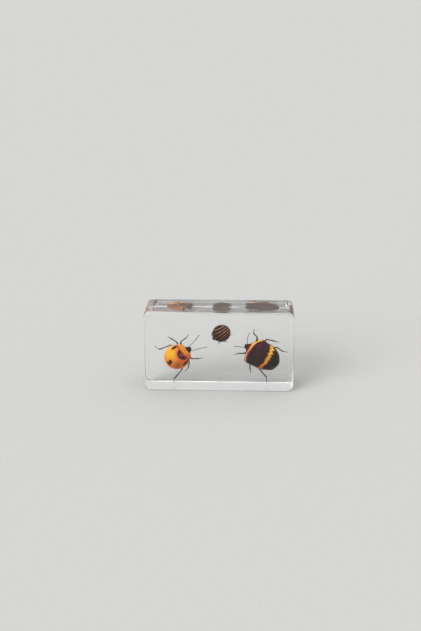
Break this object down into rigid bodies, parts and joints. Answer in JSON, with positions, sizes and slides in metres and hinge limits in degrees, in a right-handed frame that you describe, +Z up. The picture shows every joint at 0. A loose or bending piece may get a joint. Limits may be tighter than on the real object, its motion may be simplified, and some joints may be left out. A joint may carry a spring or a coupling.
{
  "type": "insects in a resin block",
  "caption": "Clear cast resin display block with rounded edges, standing on a long narrow side, with dried shield bugs sealed inside it.",
  "frame": {"origin": "middle of the underside, with the block standing on a long narrow side", "axes": "+X along the block's length, +Y through its thickness from the front face to the back face, +Z up its height"},
  "size_m": [0.073, 0.02, 0.041],
  "materials": {
    "clear_resin": "polished, clear and colourless",
    "orange_shell": "satin, finely pitted, dark blotches",
    "dark_shell": "satin, finely pitted, orange bands",
    "striped_shell": "satin, finely pitted, straw-coloured stripes",
    "dark_limbs": "dull, hairy",
    "insect_eyes": "glossy, finely faceted"
  },
  "bodies": {
    "root": {"resin_block": "clear_resin"}
  },
  "joints": []
}
